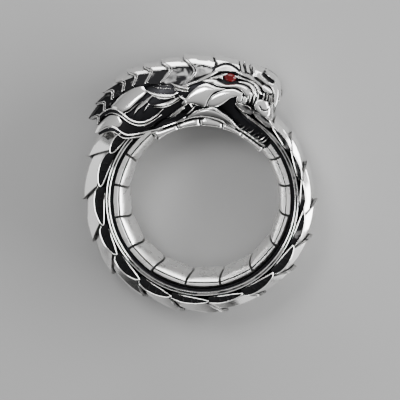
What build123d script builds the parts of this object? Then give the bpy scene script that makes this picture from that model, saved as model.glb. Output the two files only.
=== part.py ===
from build123d import *
from math import cos, sin, asin, atan, sqrt, radians, degrees, hypot
import os

# Dragon ring: a dragon that bites its own tail, worn on a finger.
# Millimetres. Z is the axis of the finger hole, and the ring lies on its side.
# Y points from the middle of the hole to the head, and X to the side of the snout.
# Angles are degrees round Z from X. The body runs from the neck at 140 degrees, down,
# and up again on the snout's side into the mouth. Both sides of the ring are alike.

# Driving sizes
finger_radius = 9.5
band_half_width = 4.5
piece_gap = 0.06

belly_thickness = 1.9
belly_half_width = 4.1
belly_land_half = 2.0
belly_bow_radius = 15.0
belly_flat_depth = 0.14
belly_flat_share = 0.12
groove_depth = 0.14
groove_width = 0.18

core_side_half = 3.8
core_drop = 1.15
core_lip = 0.26
rail_width = 0.56
rail_groove = 0.13

leaf_clearance = 0.22
leaf_height = 1.18
leaf_thickness = 0.36
leaf_rim = 0.22
leaf_delay = 12.74

scale_thickness = 0.38
scale_rise_first = 2.3
scale_rise_last = 0.9
scale_over_leaf = 0.18
scale_half_width = 4.3
scale_lap = 3.0
lap_gap = 0.12
scale_end_gap = 0.7
scale_slant = 9.8

tail_draw_in = 1.5
tail_end = 425.0
tail_tip_height = 1.12

head_rise = 9.0
head_relief = 0.34
nape_clearance = 0.27
crest_thickness = 0.5
crest_half_width = 4.3
crest_depth = 3.6
eye_length = 2.0
eye_height = 1.25
eye_depth = 0.85
eye_floor = 2.5
fang_inside = 2.0

# Where the pieces of the body meet, in degrees
belly_joints = (
    126.0, 148.5, 170.0, 191.6, 213.7, 234.6, 258.5, 281.8, 305.5, 328.2, 349.5, 369.3, 389.1, 396.4)
scale_start = 139.6
scale_tips = (
    161.5, 182.2, 203.3, 221.6, 241.1, 260.6, 282.0, 303.0, 322.8, 340.7, 359.4, 379.7, 397.2)

# Radii, built up outwards from the finger hole
belly_top = finger_radius + belly_thickness
core_radius = belly_top + piece_gap
rail_radius = core_radius + core_lip + rail_width / 2
rail_outer_radius = rail_radius + rail_width / 2
leaf_inner_radius = rail_outer_radius + leaf_clearance
leaf_outer_radius = leaf_inner_radius + leaf_height
scale_edge_radius = leaf_outer_radius - scale_over_leaf

draw_pivot = scale_tips[8] - scale_slant - scale_lap
draw_angle = degrees(atan(tail_draw_in / rail_radius))
reach = 4 * finger_radius
overrun = 30


def polar(deg, radius):
    return (radius * cos(radians(deg)), radius * sin(radians(deg)))


def grown(points, width):
    """A closed outline moved outwards all round by one width, with its corners mitred."""
    area = sum(ax * by - bx * ay for (ax, ay), (bx, by) in zip(points, points[1:] + points[:1]))
    way = width if area > 0 else -width
    result = []
    for index, (x, y) in enumerate(points):
        ax, ay = points[index - 1]
        bx, by = points[(index + 1) % len(points)]
        first, second = hypot(x - ax, y - ay), hypot(bx - x, by - y)
        n1 = ((y - ay) / first, (ax - x) / first)
        n2 = ((by - y) / second, (x - bx) / second)
        share = way / max(1 + n1[0] * n2[0] + n1[1] * n2[1], 0.3)
        result.append((x + (n1[0] + n2[0]) * share, y + (n1[1] + n2[1]) * share))
    return result


def prism(points, low, high, grow=0):
    """A straight-sided block of a side outline between two heights, grown or shrunk all round."""
    outline_points = grown(points, grow) if grow else points
    return Pos(0, 0, low) * extrude(make_face(Polyline(outline_points, close=True)), high - low)


def both_sides(solid):
    return solid + mirror(solid, about=Plane.XY)


def turned(section, start, end, centre=(0, 0)):
    """A section of (radius, height) points turned about an axis along Z."""
    face = Plane.XZ * make_face(Polyline(section, close=True))
    return Pos(*centre, 0) * (Rot(0, 0, start) * revolve(face, Axis.Z, end - start))


def whole_section(half):
    """Closes a half section, listed from the middle plane outwards and back to it."""
    return half + [(radius, -height) for radius, height in reversed(half) if height > 0]


def draw_in(solid):
    """Leans each side of the tail towards the middle plane, so that it narrows to its tip."""
    axis = Axis((0, 0, band_half_width), (*polar(draw_pivot, 1), 0))
    above = Pos(0, 0, reach) * Box(2 * reach, 2 * reach, 2 * reach)
    return both_sides(solid.rotate(axis, -draw_angle) & above)


def side_drop(deg):
    """How far the tail's side has come in at an angle past the start of its taper."""
    return rail_radius * sin(radians(max(0, min(deg - draw_pivot, 90)))) * tail_draw_in / rail_radius


# Belly plates: the polished lining of the finger hole, one behind another

def bow_cutter(joint, shift):
    """A round-faced cutter across the band. Its face bows towards the tail in the middle."""
    back = sqrt(belly_bow_radius**2 - belly_half_width**2) - shift
    post = Cylinder(belly_bow_radius, 4 * belly_thickness).rotate(Axis.Y, 90)
    return Rot(0, 0, joint) * (Pos(finger_radius + belly_thickness / 2, -back, 0) * post)


def belly_plate(start, end):
    edge = belly_half_width - side_drop(end)
    bow = belly_bow_radius - sqrt(belly_bow_radius**2 - belly_half_width**2)
    spare = degrees(asin((bow + 2 * piece_gap) / finger_radius))
    cheek = ThreePointArc(
        (finger_radius, belly_land_half),
        (finger_radius + 0.35 * belly_thickness, edge - 0.36 * (edge - belly_land_half)),
        (belly_top, edge))
    rim = (
        Line((belly_top, edge), (belly_top, -edge)) + mirror(cheek, about=Plane.XZ)
        + Line((finger_radius, -belly_land_half), (finger_radius, belly_land_half)) + cheek)
    plate = revolve(Plane.XZ * make_face(rim), Axis.Z, end - start + 2 * spare)
    plate = Rot(0, 0, start - spare) * plate
    plate = plate & bow_cutter(end, -piece_gap / 2)
    plate = plate - bow_cutter(start, piece_gap / 2)
    line_height = edge - 0.08 * belly_thickness
    line_radius = finger_radius + 0.66 * belly_thickness
    groove = turned(
        [(line_radius - groove_width / 2, line_height + groove_depth),
         (line_radius + groove_width / 2, line_height + groove_depth),
         (line_radius, line_height - groove_depth)], start - spare, end + spare)
    plate = plate - both_sides(groove)
    turn = belly_flat_share * (end - start)
    for joint, way in ((start, 1), (end, -1)):
        flat = [polar(joint + way * turn, finger_radius - belly_flat_depth),
                polar(joint + way * turn, finger_radius),
                polar(joint - way * spare, finger_radius + belly_flat_depth * (1 + spare / turn)),
                polar(joint - way * spare, finger_radius - belly_flat_depth)]
        plate = plate - prism(flat, -band_half_width, band_half_width)
    return plate


# Back scales: roof-shaped shells that overlap like shingles, each with a leaf-shaped frame

def ridge_radius(index):
    share = index / (len(scale_tips) - 1)
    return scale_edge_radius + scale_rise_first + share * (scale_rise_last - scale_rise_first)


# The roof's section: the share of its depth and of its half-width, from ridge to eaves
roof_bends = ((0, 0), (0.06, 0.17), (0.48, 0.78))

# The leaf's outline and its window: the share of the way from the last leaf's point to its
# own, the degrees past that, the share of its height, and the rims' widths further out
leaf_side = (
    (0, -2.94, 0, 0), (0, 0, 0.5, -1), (0, 2.4, 1, 1), (0.5, 0, 1, 2), (1, -2.5, 1, 0), (1, 0, 0.5, 1))
leaf_window = ((0, 0.06, 0, 1), (0, 1.5, 0.5, 0), (0, 3.0, 1, -1), (1, -3.6, 1, -1), (1, -2.0, 0.5, 1))


def roof(ridge, edge_radius, half_width, thickness):
    """Half a roof's section: from the ridge down to the eaves, and back under the shell."""
    depth = ridge - edge_radius
    top = [(ridge - share * depth, part * half_width) for share, part in roof_bends]
    under = [(radius - thickness, height) for radius, height in reversed(top)]
    return top + [(edge_radius, half_width), (edge_radius, half_width - 0.6 * thickness)] + under


def leaf_points(rows, last_point, point):
    return [
        polar(last_point + part * (point - last_point) + past,
              leaf_inner_radius + share * leaf_height + rims * leaf_rim)
        for part, past, share, rims in rows]


def leaf_frame(tip, previous_tip):
    """The pointed frame below a scale, with its window, on the upper side."""
    ends = (previous_tip - scale_slant, tip - scale_slant)
    high = scale_half_width + leaf_thickness / 4
    low = high - leaf_thickness
    frame = prism(leaf_points(leaf_side, *ends), low, high) & Cylinder(leaf_outer_radius, 2 * reach)
    return frame - prism(leaf_points(leaf_window, *ends), low - leaf_thickness, high + leaf_thickness)


def back_scale(index):
    tip = scale_tips[index]
    start = scale_tips[index - 1] if index else scale_start
    ridge = ridge_radius(index)
    last_ridge = ridge_radius(index - 1)
    rise = ridge - last_ridge + scale_thickness + lap_gap
    lean = rise / (2 * sin(radians(tip - start) / 2))
    middle = ridge - rise / 2
    grow = hypot(middle, lean) - middle
    half = roof(middle + grow, scale_edge_radius + grow - rise / 4, scale_half_width, scale_thickness)
    centre = polar((tip + start) / 2 + 90, lean)
    shell = turned(whole_section(half), start - overrun, tip + overrun, centre)
    lap, slant = (scale_lap, scale_slant) if index else (0, 0)
    beyond = ridge + scale_thickness
    deep = scale_edge_radius - 2 * scale_thickness
    side = [
        polar(tip, ridge), polar(tip, beyond), polar((tip + start) / 2, 1.02 * beyond),
        polar(start - lap, beyond), polar(start - lap, last_ridge),
        polar(start - slant + scale_end_gap, scale_edge_radius), polar(start - slant + scale_end_gap, deep),
        polar((tip + start) / 2 - slant, 0.98 * deep),
        polar(tip - scale_slant, deep), polar(tip - scale_slant, scale_edge_radius),
    ]
    solid = shell & prism(side, -reach, reach)
    solid = solid + both_sides(leaf_frame(tip, start if index else start + leaf_delay))
    return draw_in(solid) if start >= draw_pivot else solid


# Core: the blackened hoop that carries the plates and the scales, with a double rail on each side

def core_stretch(ridge, start, end):
    top = ridge - core_drop
    inner = core_radius + core_lip
    outer = rail_outer_radius
    shoulder = outer + 0.25 * (top - outer)
    half = [
        (top, 0), (top - 0.12 * (top - shoulder), 0.15 * core_side_half),
        (shoulder, 0.88 * core_side_half), (shoulder - rail_groove, core_side_half),
        (outer, core_side_half), (outer, band_half_width),
        (rail_radius + rail_groove / 2, band_half_width), (rail_radius, band_half_width - rail_groove),
        (rail_radius - rail_groove / 2, band_half_width), (inner, band_half_width),
        (inner, core_side_half), (core_radius, core_side_half), (core_radius, 0),
    ]
    return turned(whole_section(half), start, end)


def core():
    starts = [scale_start] + [tip - scale_lap - 0.5 for tip in scale_tips[:-1]] + [scale_tips[-1]]
    ends = starts[1:] + [tail_end]
    tail_tip = rail_outer_radius + tail_tip_height
    ridges = [ridge_radius(index) for index in range(len(scale_tips))] + [tail_tip + core_drop]
    level, leaning = [], []
    for start, end, ridge in zip(starts, ends, ridges):
        if start < draw_pivot:
            level.append(core_stretch(ridge, start, min(end, draw_pivot)))
        if end > draw_pivot:
            leaning.append(core_stretch(ridge, max(start, draw_pivot - scale_lap), end))
    past_pivot = Rot(0, 0, draw_pivot) * (Pos(0, reach, 0) * Box(2 * reach, 2 * reach, 2 * reach))
    hoop = level[0].fuse(*level[1:])
    tail = draw_in(leaning[0].fuse(*leaning[1:])) & past_pivot
    return hoop + (tail - Cylinder(core_radius, 2 * reach))


# Head: a casting with raised plates, ridges and teeth over a lower ground

def at(deg, share):
    """A point of the head: its angle, and its share of the way from the hole to the crest."""
    return polar(deg, finger_radius + share * head_rise)


def outline(rows):
    return [at(deg, share) for deg, share in rows]


# The head's half-width, as a share, against the share of its rise and of the way to the snout
head_section = (
    (-0.10, 0.50), (0.0, 0.58), (0.08, 0.80), (0.21, 0.95), (0.33, 1.0), (0.50, 1.0),
    (0.63, 0.93), (0.76, 0.78), (0.88, 0.52), (0.97, 0.25), (1.06, 0.06))
head_plan = ((1.13, 0.50), (1.06, 0.68), (0.90, 0.84), (0.70, 0.93), (0.45, 1.0), (-1.9, 1.0))


def envelope(offset):
    """The head's outer form: a section turned about the hole, and narrowed to the snout."""
    ground = band_half_width - head_relief
    half = [(finger_radius + share * head_rise + (offset if share > 0.5 else 0),
             wide * ground + head_relief + offset) for share, wide in head_section]
    half = [(half[0][0], 0)] + half + [(half[-1][0], 0)]
    form = turned(whole_section(half), 0, 360)
    side = [(share * head_rise + offset, wide * ground + head_relief + offset) for share, wide in head_plan]
    sheet = make_face(Polyline(side + [(x, -z) for x, z in reversed(side)], close=True))
    return form & extrude(Plane.XZ * sheet, reach, both=True)


def ridge_line(rows, width):
    """The outline of a raised line of even width along a row of points."""
    points = outline(rows)
    left, right = [], []
    for index, (x, y) in enumerate(points):
        ax, ay = points[max(index - 1, 0)]
        bx, by = points[min(index + 1, len(points) - 1)]
        length = hypot(bx - ax, by - ay)
        taper = 0.35 if index in (0, len(points) - 1) else 1
        dx, dy = (ay - by) / length * width / 2 * taper, (bx - ax) / length * width / 2 * taper
        left.append((x + dx, y + dy))
        right.append((x - dx, y - dy))
    return left + right[::-1]


# The underside of the nape, which lies over the first scale
nape = (scale_edge_radius + scale_rise_first + nape_clearance - finger_radius) / head_rise

head_outline = (
    (52.5, 0.66), (54.5, 0.80), (58, 0.87), (62, 0.89), (75, 0.89), (80, 0.90), (87, 0.87),
    (96, 0.88), (108, 0.93), (122, 0.98), (135, 0.97), (146, 0.88), (146, nape), (139.3, nape),
    (139.3, 0.0), (110, -0.3), (90, 0.0), (88, 0.29), (81, 0.29), (78.5, 0.33), (76, 0.38),
    (73.9, 0.44), (70, 0.52), (64, 0.54), (60, 0.54), (54, 0.54))

# What the raised plates keep inside of
relief_outline = (
    (48, 0.40), (48, 1.3), (75, 1.45), (100, 1.5), (125, 1.5), (149, 1.3), (149, nape),
    (139.2, nape), (139.2, 0.0), (115, -0.4), (86, 0.0), (86, 0.28), (70, 0.42))

jaw_outline = (
    (84, 0.24), (82, 0.27), (78.4, 0.24), (74.7, 0.21), (70.4, 0.17), (66.5, 0.12), (62.4, 0.10),
    (58, 0.10), (53, 0.10), (46.5, 0.11), (41.2, 0.15), (39.8, 0.10), (40.0, -0.2), (83, -0.5),
    (125.8, -0.2), (125.8, 0.3), (105, 0.4))

# Where the jaw is thinned to pass under the head, and where it is hollowed for the tail
jaw_walls = (83, 150)
jaw_bed = (46, 88)

head_plates = {
    "forehead": ((87, 0.88), (82, 0.92), (79, 0.94), (75.6, 0.90), (76, 0.82), (80, 0.87), (83.6, 0.84),
                 (85.8, 0.77)),
    "cheek": ((85.8, 0.60), (78.5, 0.58), (83.4, 0.51), (86.2, 0.41), (87.6, 0.31), (91.4, 0.31),
              (92.5, 0.46), (87.2, 0.58)),
    "jaw_muscle": ((78.6, 0.56), (73.9, 0.60), (71.4, 0.62), (69.5, 0.59), (69.8, 0.55), (73.9, 0.49),
                   (76.1, 0.42), (78.5, 0.33), (87.1, 0.30), (86.9, 0.35), (85.7, 0.41), (83.5, 0.48)),
    "nose_plate_1": ((75, 0.95), (72.6, 0.92), (70.6, 0.86), (71.5, 0.83), (73.4, 0.88)),
    "nose_plate_2": ((72.3, 0.92), (70.9, 0.92), (69.1, 0.86), (70.4, 0.84)),
    "nose_plate_3": ((69.3, 0.92), (67.6, 0.92), (66.2, 0.87), (67.8, 0.85)),
    "snout": ((67.1, 0.91), (64.5, 0.92), (61.5, 0.92), (58.3, 0.90), (56.0, 0.86), (53.4, 0.78),
              (52.2, 0.68), (55.2, 0.76), (56.5, 0.81), (61.6, 0.82), (65.7, 0.86)),
    "lip": ((62.4, 0.80), (60.7, 0.82), (58.8, 0.82), (57.7, 0.80), (58.3, 0.77), (60.1, 0.75)),
    "neck_leaf": ((117.6, 0.77), (122.3, 0.82), (126.3, 0.82), (130.2, 0.80), (134.4, 0.79),
                  (132.3, 0.65), (128.3, 0.61), (122.0, 0.62), (117.6, 0.67)),
}

head_ridges = {
    "brow": (0.5, ((104, 0.60), (96, 0.64), (88.2, 0.71), (84.3, 0.80), (80.6, 0.87), (78.4, 0.88),
                   (74.1, 0.84), (69.3, 0.83), (65.3, 0.82))),
    "lower_lid": (0.34, ((84.8, 0.68), (82.0, 0.65), (78.6, 0.63), (74.6, 0.66), (71.5, 0.69),
                         (69.1, 0.68), (67.0, 0.66), (64.0, 0.62))),
    "lip_upper": (0.34, ((74.0, 0.74), (69.9, 0.74), (67.7, 0.74), (65.6, 0.72), (63.9, 0.68))),
    "lip_front": (0.34, ((73.4, 0.78), (70.4, 0.79), (67.7, 0.79), (65.4, 0.77), (62.8, 0.76),
                         (61.0, 0.73))),
    "gum": (0.3, ((85.2, 0.62), (82.6, 0.59), (79.1, 0.59), (74.1, 0.62), (71.5, 0.62), (69.8, 0.60),
                  (67.0, 0.56))),
    "nape_rib": (0.36, ((117.4, 0.75), (115.8, 0.66), (113.0, 0.58), (109.9, 0.53), (105.8, 0.50),
                        (102.0, 0.52), (98.0, 0.56))),
    "horn_high": (0.6, ((104.8, 0.68), (102.4, 0.61), (99.2, 0.57), (95.0, 0.54))),
    "horn_middle": (0.7, ((116.7, 0.46), (112.2, 0.41), (107.4, 0.41), (102.0, 0.43), (96.0, 0.46))),
    "horn_low": (0.6, ((111.6, 0.23), (105.9, 0.26), (101.0, 0.30), (98.0, 0.33), (93.0, 0.38))),
    "whisker_high": (0.36, ((110.0, 0.35), (116.8, 0.33), (121.6, 0.31), (126.2, 0.33), (129.2, 0.38),
                            (131.2, 0.46), (131.9, 0.53), (133.0, 0.70), (136.9, 0.79), (140.9, 0.82))),
    "whisker_low": (0.36, ((112.0, 0.23), (120.7, 0.23), (128.0, 0.24), (133.3, 0.29), (137.5, 0.36),
                           (138.0, 0.50), (138.6, 0.60), (140.0, 0.74), (144.5, 0.76))),
}

# Teeth: the middle, the width in degrees, the share at the root and at the point
upper_teeth = (
    (71.4, 2.6, 0.57, 0.45), (68.2, 2.2, 0.57, 0.45), (65.4, 1.8, 0.57, 0.46), (62.8, 1.8, 0.57, 0.46),
    (59.6, 2.8, 0.60, 0.45), (55.6, 3.8, 0.60, 0.44))
lower_teeth = (
    (62.6, 1.9, 0.08, 0.18), (60.2, 2.1, 0.08, 0.23), (55.4, 2.3, 0.08, 0.25), (50.2, 2.1, 0.08, 0.24),
    (46.2, 1.9, 0.09, 0.26), (43.4, 1.6, 0.10, 0.24))
eye_place = (77.3, 0.73)
eye_socket = (
    (83.6, 0.70), (81.0, 0.76), (78.0, 0.80), (75.0, 0.78), (72.6, 0.75), (75.0, 0.69), (79.0, 0.66))
nostril = ((64.0, 0.86), (61.2, 0.86), (58.9, 0.83), (60.6, 0.815), (62.6, 0.83))


def teeth(table, inside, form):
    """Pointed teeth along one edge of a jaw, from an inner height out to its form."""
    row = []
    for middle, width, root, point in table:
        half = width / 2
        side = outline(((middle - half, root), (middle + half, root), (middle + 0.25 * half, point),
                        (middle - 0.25 * half, point)))
        row.append(prism(side, inside, band_half_width) & form)
    return row[0].fuse(*row[1:])


def head():
    surface = envelope(0)
    casting = prism(outline(head_outline), -reach, reach) & envelope(-head_relief)
    low = band_half_width / 3
    raised = [prism(outline(rows), low, band_half_width) for rows in head_plates.values()]
    raised += [prism(ridge_line(rows, width), low, band_half_width) for width, rows in head_ridges.values()]
    relief = [block & surface for block in raised]
    relief = relief[0].fuse(*relief[1:]) & prism(outline(relief_outline), -reach, reach)
    fangs = teeth(upper_teeth, fang_inside, envelope(-head_relief / 2))
    casting = casting + both_sides(relief) + both_sides(fangs)
    casting = casting - Cylinder(core_radius, 2 * reach)
    socket = prism(outline(eye_socket), eye_floor, band_half_width)
    socket = socket + prism(stone_outline(1), eye_floor, band_half_width, piece_gap)
    slit = prism(outline(nostril), 0.3 * band_half_width, band_half_width)
    casting = casting - both_sides(socket) - both_sides(slit)
    for index in range(len(crest_lines) - 1):
        casting = casting - crest_seat(index)
    return casting


def lower_jaw():
    form = envelope(-head_relief / 2)
    hole = Cylinder(finger_radius, 2 * reach)
    jaw = prism(outline(jaw_outline), -reach, reach) & form
    walls = turned(
        [(belly_top, -reach), (belly_top, reach), (reach, reach), (reach, -reach)], *jaw_walls)
    bed_half = band_half_width - tail_draw_in
    bed_low = finger_radius + 0.2 * belly_thickness
    bed = turned([(bed_low, -bed_half), (belly_top, -bed_half), (belly_top, bed_half),
                  (bed_low, bed_half)], *jaw_bed)
    beside_tail = band_half_width - tail_draw_in + 2 * piece_gap
    return jaw + both_sides(teeth(lower_teeth, beside_tail, form)) + (bed & form) - walls - hole


# Crest: plates with notched rear edges along the top of the head and the nape

# Each line is the rear edge of a plate and the front of the next: its tip, notch and lower
# corner, each as degrees and a share of the head's rise
crest_lines = (
    (89.5, 0.93, 88.0, 0.86, 86.0, 0.78),
    (98.9, 0.98, 94.5, 0.80, 99.4, 0.66),
    (108.0, 0.98, 104.8, 0.84, 109.5, 0.72),
    (115.4, 1.01, 112.7, 0.90, 116.9, 0.79),
    (121.8, 1.05, 119.0, 0.93, 122.0, 0.84),
    (128.0, 1.04, 125.0, 0.94, 127.4, 0.86),
    (134.8, 1.02, 131.2, 0.94, 133.0, 0.86),
    (140.2, 0.99, 136.8, 0.90, 138.6, 0.83),
    (146.6, 0.93, 142.8, 0.85, 145.0, 0.78),
)


# The roof's section: the share of its depth and of its half-width, from ridge to eaves
crest_roof = ((0, 0), (0.05, 0.10), (0.34, 0.55), (0.72, 0.88), (1, 1), (1, 0))


def crest_side(index):
    """The side outline of a crest plate, between its own rear edge and the one before."""
    front, rear = crest_lines[index], crest_lines[index + 1]
    high = max(front[1], rear[1]) + 0.1
    return [at(rear[0], rear[1]), at(rear[2], rear[3]), at(rear[4], rear[5]), at(front[4], front[5]),
            at(front[2], front[3]), at(front[0], front[1]), at(front[0], high), at(rear[0], high)]


def crest_form(index, drop):
    """The roof-shaped form whose ridge climbs to a plate's tip, lowered by a drop."""
    front, rear = crest_lines[index], crest_lines[index + 1]
    rise = (rear[1] - front[1]) * head_rise + crest_thickness
    lean = rise / (2 * sin(radians(rear[0] - front[0]) / 2))
    ridge = hypot(finger_radius + rear[1] * head_rise - rise / 2, lean) - drop
    wide = crest_half_width - drop / 2
    half = [(ridge - share * crest_depth, part * wide) for share, part in crest_roof]
    middle = (front[0] + rear[0]) / 2
    centre = polar(middle + 90, lean)
    return turned(whole_section(half), front[0] - overrun, rear[0] + overrun, centre)


def crest_plate(index):
    block = prism(crest_side(index), -reach, reach, -piece_gap / 2)
    return (block & crest_form(index, 0)) - crest_form(index, crest_thickness)


def crest_seat(index):
    """What the head leaves free for a crest plate."""
    block = prism(crest_side(index), -reach, reach, piece_gap / 2)
    return block - crest_form(index, crest_thickness + piece_gap)


# Eyes: red stones with a table, set in the sockets

def stone_outline(share):
    x, y = at(*eye_place)
    slope = radians(eye_place[0] - 90)
    points = []
    for turn in range(0, 360, 36):
        along = share * eye_length / 2 * cos(radians(turn))
        across = share * eye_height / 2 * sin(radians(turn))
        points.append((x + along * cos(slope) - across * sin(slope),
                       y + along * sin(slope) + across * cos(slope)))
    return points


def eye_stone():
    low = eye_floor + piece_gap
    rings = ((0, 0.35), (0.55, 1.0), (0.65, 1.0), (1.0, 0.58))
    sections = [Pos(0, 0, low + high * eye_depth) * make_face(Polyline(stone_outline(share), close=True))
                for high, share in rings]
    return loft(sections, ruled=True)


def build():
    pieces = {"core_hoop": core(), "head": head(), "lower_jaw": lower_jaw()}
    for index, (start, end) in enumerate(zip(belly_joints, belly_joints[1:]), 1):
        pieces[f"belly_plate_{index:02d}"] = belly_plate(start, end)
    for index in range(len(scale_tips)):
        pieces[f"back_scale_{index + 1:02d}"] = back_scale(index)
    for index in range(len(crest_lines) - 1):
        pieces[f"crest_plate_{index + 1}"] = crest_plate(index)
    pieces["eye_left"] = eye_stone()
    pieces["eye_right"] = mirror(eye_stone(), about=Plane.XY)
    return pieces


os.makedirs("parts", exist_ok=True)
for name, solid in build().items():
    export_step(solid, f"parts/{name}.step")
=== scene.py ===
from bisect import bisect_right
from math import atan2, cos, degrees, hypot, pi, radians, sin
import bmesh
import bpy
from mathutils import Matrix, Vector
from mathutils.geometry import interpolate_bezier


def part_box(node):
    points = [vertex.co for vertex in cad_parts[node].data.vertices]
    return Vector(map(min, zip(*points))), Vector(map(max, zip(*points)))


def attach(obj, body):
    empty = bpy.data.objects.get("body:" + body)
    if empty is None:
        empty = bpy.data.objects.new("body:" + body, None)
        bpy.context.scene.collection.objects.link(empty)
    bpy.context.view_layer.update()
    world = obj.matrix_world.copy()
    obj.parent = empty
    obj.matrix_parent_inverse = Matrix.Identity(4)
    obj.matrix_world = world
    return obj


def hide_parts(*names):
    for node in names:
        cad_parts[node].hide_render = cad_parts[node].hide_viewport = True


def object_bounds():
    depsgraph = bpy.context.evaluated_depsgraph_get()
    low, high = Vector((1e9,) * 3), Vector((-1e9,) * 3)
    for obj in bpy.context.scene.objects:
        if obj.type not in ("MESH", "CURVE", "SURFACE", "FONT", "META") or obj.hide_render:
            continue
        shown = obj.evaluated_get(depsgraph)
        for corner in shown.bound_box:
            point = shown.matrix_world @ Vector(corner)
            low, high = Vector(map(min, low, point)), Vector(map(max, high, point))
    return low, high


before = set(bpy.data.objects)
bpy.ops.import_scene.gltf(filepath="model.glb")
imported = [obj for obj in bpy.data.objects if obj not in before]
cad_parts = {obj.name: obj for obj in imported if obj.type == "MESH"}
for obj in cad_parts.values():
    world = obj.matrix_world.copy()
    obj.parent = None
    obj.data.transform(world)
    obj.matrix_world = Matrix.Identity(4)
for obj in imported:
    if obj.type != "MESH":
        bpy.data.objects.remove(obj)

cad_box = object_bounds()
floor_height = cad_box[0][2]


# The studio. A long lens looks down on the ring, which lies on its side, from a little above
# the head and a little to the right of the hole's axis.

to_camera = Vector((0.0698, 0.1564, 0.985)).normalized()
aim = Vector((-0.00054, -0.00056, 0.0))
distance = 0.62
view_width = 0.0512
film_width = 36


def placed(name, data):
    """Puts a new object into the scene."""
    made = bpy.data.objects.new(name, data)
    bpy.context.scene.collection.objects.link(made)
    return made


right = Vector((0, 1, 0)).cross(to_camera).normalized()
camera_data = bpy.data.cameras.new("camera")
camera_data.sensor_width = film_width
camera_data.lens = film_width * distance / view_width
camera_data.clip_start, camera_data.clip_end = 0.01, 20
camera = placed("camera", camera_data)
turn = Matrix((right, to_camera.cross(right), to_camera)).transposed().to_4x4()
camera.matrix_world = Matrix.Translation(aim + distance * to_camera) @ turn
bpy.context.scene.camera = camera

bm = bmesh.new()
bmesh.ops.create_grid(bm, x_segments=8, y_segments=8, size=1.5)
bmesh.ops.translate(bm, verts=bm.verts, vec=(0, 0, floor_height))
floor_mesh = bpy.data.meshes.new("floor")
bm.to_mesh(floor_mesh)
bm.free()
floor = placed("floor", floor_mesh)


def new_material(name):
    """A new material, with its node tree and its shader."""
    made = bpy.data.materials.new(name)
    made.use_nodes = True
    return made, made.node_tree, made.node_tree.nodes["Principled BSDF"]


def object_place(tree):
    """Node output: a place on the object."""
    return tree.nodes.new("ShaderNodeTexCoord").outputs["Object"]


def noise(tree, place, scale, detail=2.0, distortion=0.0):
    """Node output: soft noise at a place."""
    node = tree.nodes.new("ShaderNodeTexNoise")
    for socket, value in (("Scale", scale), ("Detail", detail), ("Distortion", distortion)):
        node.inputs[socket].default_value = value
    tree.links.new(place, node.inputs["Vector"])
    return node.outputs["Fac"]


def remapped(tree, value, span=(0, 1), result=(0, 1), smooth=False):
    """Node output: a value, with its span stretched over the result's."""
    node = tree.nodes.new("ShaderNodeMapRange")
    if smooth:
        node.interpolation_type = "SMOOTHSTEP"
    for socket, number in zip(("From Min", "From Max", "To Min", "To Max"), (*span, *result)):
        node.inputs[socket].default_value = number
    tree.links.new(value, node.inputs["Value"])
    return node.outputs["Result"]


paper, tree, shader = new_material("pale_paper")
shader.inputs["Roughness"].default_value = 0.75
grain = noise(tree, object_place(tree), 40)
tree.links.new(remapped(tree, grain, result=(0.31, 0.335)), shader.inputs["Base Color"])
floor.data.materials.append(paper)

# The room is lighter on the side of the far right corner
world = bpy.data.worlds.new("studio")
bpy.context.scene.world = world
world.use_nodes = True
tree = world.node_tree
where = tree.nodes.new("ShaderNodeTexCoord")
lit_from = tree.nodes.new("ShaderNodeVectorMath")
lit_from.operation = "DOT_PRODUCT"
lit_from.inputs[1].default_value = (0.52, 0.60, 0.50)
tree.links.new(where.outputs["Generated"], lit_from.inputs[0])
room = remapped(tree, lit_from.outputs["Value"], (-0.6, 0.9), (0.04, 0.80), smooth=True)
tree.links.new(room, tree.nodes["Background"].inputs["Color"])

# name, direction from the ring, distance, width, height, power
softboxes = (
    ("key", (1.0, 0.02, 0.30), 0.34, 0.38, 0.20, 2.9),
    ("far", (0.10, 1.0, 0.24), 0.36, 0.38, 0.16, 1.0),
    ("overhead", (-0.30, 0.50, 1.0), 0.42, 0.14, 0.14, 0.9),
    ("left", (-1.0, -0.12, 0.28), 0.36, 0.46, 0.18, 0.26),
    ("low_right", (0.57, -0.82, 0.26), 0.36, 0.36, 0.16, 0.19),
)
for name, way, far, wide, high, power in softboxes:
    light = bpy.data.lights.new(name, "AREA")
    light.shape = "RECTANGLE"
    light.size, light.size_y = wide, high
    light.energy = power
    toward = Vector(way).normalized()
    turn = toward.to_track_quat("Z", "Y").to_matrix().to_4x4()
    placed(name, light).matrix_world = Matrix.Translation(far * toward) @ turn


# Core hoop. The body's inner hoop in oxidised silver, which shows dark between the plates.
# It is cast in one piece and narrows towards the tail's tip, inside the mouth.

hole_radius = 9.5
band_half = 4.5
# Degrees along the body, which count on past 360 to the tail's tip
hoop_start, hoop_end = 139.6, 434.0
tip_start, tip_radius, tip_shrink = 416.0, 12.75, 0.8
narrow_start, narrow_by = 310.0, 1.5


def spot(deg, radius):
    """A point beside the finger hole, in millimetres."""
    return Vector((radius * cos(radians(deg)), radius * sin(radians(deg)), 0))


def between(table, value):
    """Reads a table of (value, result) rows, with straight lines between the rows."""
    keys = [row[0] for row in table]
    if value <= keys[0]:
        return table[0][1]
    if value >= keys[-1]:
        return table[-1][1]
    index = bisect_right(keys, value)
    (low, first), (high, last) = table[index - 1], table[index]
    return first + (last - first) * (value - low) / (high - low)


def along_body(x, y):
    """The angle of a point along the body, from the neck on to the tail's tip."""
    deg = degrees(atan2(y, x)) % 360
    return deg if deg > 100 else deg + 360


def narrowed(deg, height):
    """A height above the middle plane, drawn in where the tail tapers."""
    back = sin(radians(max(0, min(deg - narrow_start, 90))))
    return height * (1 - back * narrow_by / band_half)


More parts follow.
